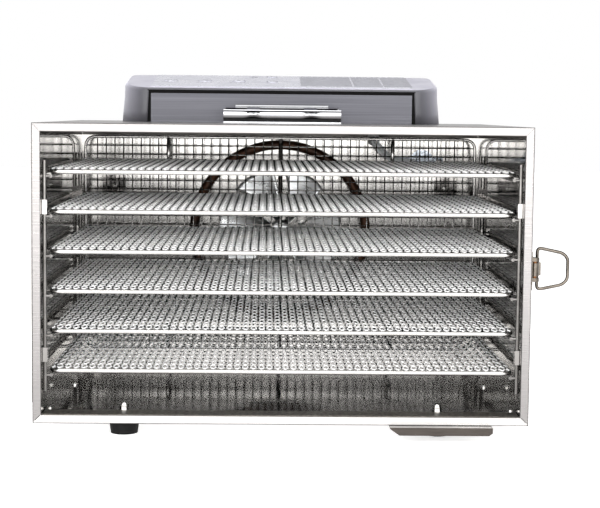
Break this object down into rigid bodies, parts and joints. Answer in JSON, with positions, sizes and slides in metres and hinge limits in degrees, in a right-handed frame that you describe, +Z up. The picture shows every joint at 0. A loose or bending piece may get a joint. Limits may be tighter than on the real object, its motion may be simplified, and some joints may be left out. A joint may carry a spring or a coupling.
{
  "type": "food dehydrator",
  "caption": "Steel cabinet food dehydrator with pull-out mesh trays on wire racks, rear fan and ring heater, sloping control box, folding handle and side latch.",
  "frame": {"origin": "on the surface the feet stand on, under the middle of the whole model's box, latch loop included", "axes": "+X to the right seen from the front, +Y to the rear, +Z up"},
  "size_m": [0.452, 0.3572, 0.3115],
  "materials": {
    "steel": "satin, lightly brushed",
    "liner": "bright, near mirror",
    "wire": "bright, electropolished",
    "mesh": "bright expanded mesh",
    "heater": "heat-darkened tube",
    "rubber": "matt",
    "screw": "bright plated",
    "fan": "bright pressed sheet",
    "motor": "satin",
    "shaft": "ground",
    "shell": "satin moulded",
    "gasket": "matt",
    "fascia": "brushed lengthways",
    "overlay": "printed film",
    "key": "printed film",
    "board": "solder mask",
    "cable": "satin sleeve",
    "socket": "moulded",
    "handle": "polished chrome",
    "latch": "bright",
    "brass": "dull",
    "ledge": "dark edge"
  },
  "bodies": {
    "cabinet": {"base_panel": "steel", "box_fascia": "fascia", "box_gasket": "gasket", "cable_grommet": "rubber", "case_screws": "screw", "chamber_screws": "screw", "circuit_board": "board", "control_box": "shell", "cutout_cable": "cable", "door_ledge": "ledge", "fan_guard": "wire", "foot_nuts": "screw", "foot_screws": "screw", "handle_base": "handle", "handle_pin": "latch", "heater_brackets": "shaft", "heater_ring": "heater", "hinge_strip": "steel", "keypad_overlay": "overlay", "latch_base": "latch", "latch_pin": "latch", "latch_sleeve": "brass", "liner_back": "liner", "liner_floor": "liner", "liner_left": "liner", "liner_right": "liner", "liner_top": "liner", "motor_body": "motor", "motor_bracket": "shaft", "power_inlet": "socket", "rear_cover": "steel", "rubber_feet": "rubber", "side_panel_left": "steel", "side_panel_right": "steel", "thermal_cutout": "shaft", "top_panel": "steel", "tray_racks": "wire", "wall_clips": "wire"},
    "tray_1": {"tray_frame_1": "wire", "tray_mesh_1": "mesh"},
    "tray_2": {"tray_frame_2": "wire", "tray_mesh_2": "mesh"},
    "tray_3": {"tray_frame_3": "wire", "tray_mesh_3": "mesh"},
    "tray_4": {"tray_frame_4": "wire", "tray_mesh_4": "mesh"},
    "tray_5": {"tray_frame_5": "wire", "tray_mesh_5": "mesh"},
    "tray_6": {"tray_frame_6": "wire", "tray_mesh_6": "mesh"},
    "key_power_cap": {"key_power": "key"},
    "key_timer_cap": {"key_timer": "key"},
    "key_temperature_cap": {"key_temperature": "key"},
    "key_plus_cap": {"key_plus": "key"},
    "key_minus_cap": {"key_minus": "key"},
    "fan": {"fan_impeller": "fan", "motor_shaft": "shaft"},
    "handle": {"handle_bail": "handle"},
    "lever": {"latch_lever": "latch"},
    "loop": {"latch_loop": "latch"}
  },
  "joints": [
    {"name": "tray_1_slide", "type": "slide", "parent": "cabinet", "child": "tray_1", "axis": [0, -1, 0], "range_m": [0, 0.29]},
    {"name": "tray_2_slide", "type": "slide", "parent": "cabinet", "child": "tray_2", "axis": [0, -1, 0], "range_m": [0, 0.29]},
    {"name": "tray_3_slide", "type": "slide", "parent": "cabinet", "child": "tray_3", "axis": [0, -1, 0], "range_m": [0, 0.29]},
    {"name": "tray_4_slide", "type": "slide", "parent": "cabinet", "child": "tray_4", "axis": [0, -1, 0], "range_m": [0, 0.29]},
    {"name": "tray_5_slide", "type": "slide", "parent": "cabinet", "child": "tray_5", "axis": [0, -1, 0], "range_m": [0, 0.29]},
    {"name": "tray_6_slide", "type": "slide", "parent": "cabinet", "child": "tray_6", "axis": [0, -1, 0], "range_m": [0, 0.29]},
    {"name": "key_power_press", "type": "slide", "parent": "cabinet", "child": "key_power_cap", "axis": [0, 0.1295, -0.9916], "range_m": [0, 0.0005], "stiffness_N_per_m": 600},
    {"name": "key_timer_press", "type": "slide", "parent": "cabinet", "child": "key_timer_cap", "axis": [0, 0.1295, -0.9916], "range_m": [0, 0.0005], "stiffness_N_per_m": 600},
    {"name": "key_temperature_press", "type": "slide", "parent": "cabinet", "child": "key_temperature_cap", "axis": [0, 0.1295, -0.9916], "range_m": [0, 0.0005], "stiffness_N_per_m": 600},
    {"name": "key_plus_press", "type": "slide", "parent": "cabinet", "child": "key_plus_cap", "axis": [0, 0.1295, -0.9916], "range_m": [0, 0.0005], "stiffness_N_per_m": 600},
    {"name": "key_minus_press", "type": "slide", "parent": "cabinet", "child": "key_minus_cap", "axis": [0, 0.1295, -0.9916], "range_m": [0, 0.0005], "stiffness_N_per_m": 600},
    {"name": "fan_spin", "type": "hinge", "parent": "cabinet", "child": "fan", "pos_m": [-0.01783, 0.1214, 0.155], "axis": [0, 1, 0], "continuous": true},
    {"name": "handle_fold", "type": "hinge", "parent": "cabinet", "child": "handle", "pos_m": [-0.01783, -0.0066, 0.272], "axis": [1, 0, 0], "range_deg": [0, 90]},
    {"name": "lever_swing", "type": "hinge", "parent": "cabinet", "child": "lever", "pos_m": [0.19487, -0.1506, 0.1445], "axis": [0, 0, -1], "range_deg": [0, 60]},
    {"name": "loop_swing", "type": "hinge", "parent": "lever", "child": "loop", "pos_m": [0.19847, -0.1426, 0.1445], "axis": [0, 0, 1], "range_deg": [-90, 25]}
  ]
}
